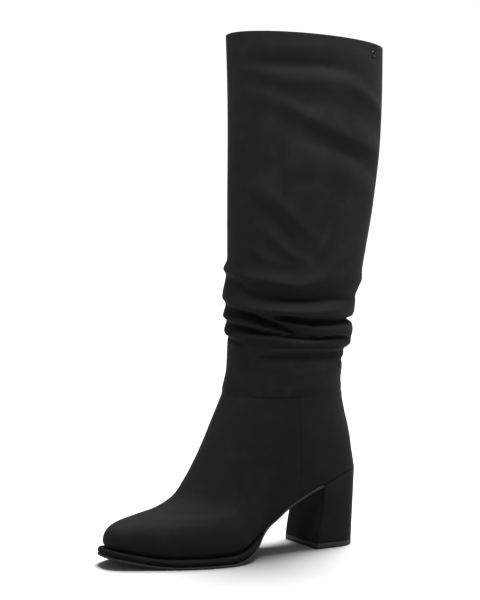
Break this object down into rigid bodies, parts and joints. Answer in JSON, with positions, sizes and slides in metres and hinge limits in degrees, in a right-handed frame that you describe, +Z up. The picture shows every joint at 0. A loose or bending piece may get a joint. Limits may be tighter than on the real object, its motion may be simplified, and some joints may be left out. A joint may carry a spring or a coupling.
{
  "type": "knee-high slouch boot",
  "caption": "Knee-high boot for the left foot with a soft slouched shaft, round toe, thin sole with a midsole under the forefoot and a covered block heel",
  "frame": {"origin": "on the floor, under the middle of the boot's bounding box", "axes": "+Z up along the shaft, the toe points to -Y, the outer (lateral) side of this left boot faces +X"},
  "size_m": [0.1, 0.2784, 0.4571],
  "materials": {
    "covering": "matte black nubuck-like microfibre",
    "heel_cover": "the same covering drawn over the heel block",
    "sole_rubber": "matte dark grey rubber",
    "midsole_rubber": "matte black rubber",
    "insole_lining": "black textile footbed",
    "stud_metal": "dark gunmetal"
  },
  "bodies": {
    "root": {"upper": "covering", "shaft": "covering", "heel": "heel_cover", "outsole": "sole_rubber", "midsole": "midsole_rubber", "top_piece": "sole_rubber", "insole": "insole_lining", "stud": "stud_metal"}
  },
  "joints": []
}
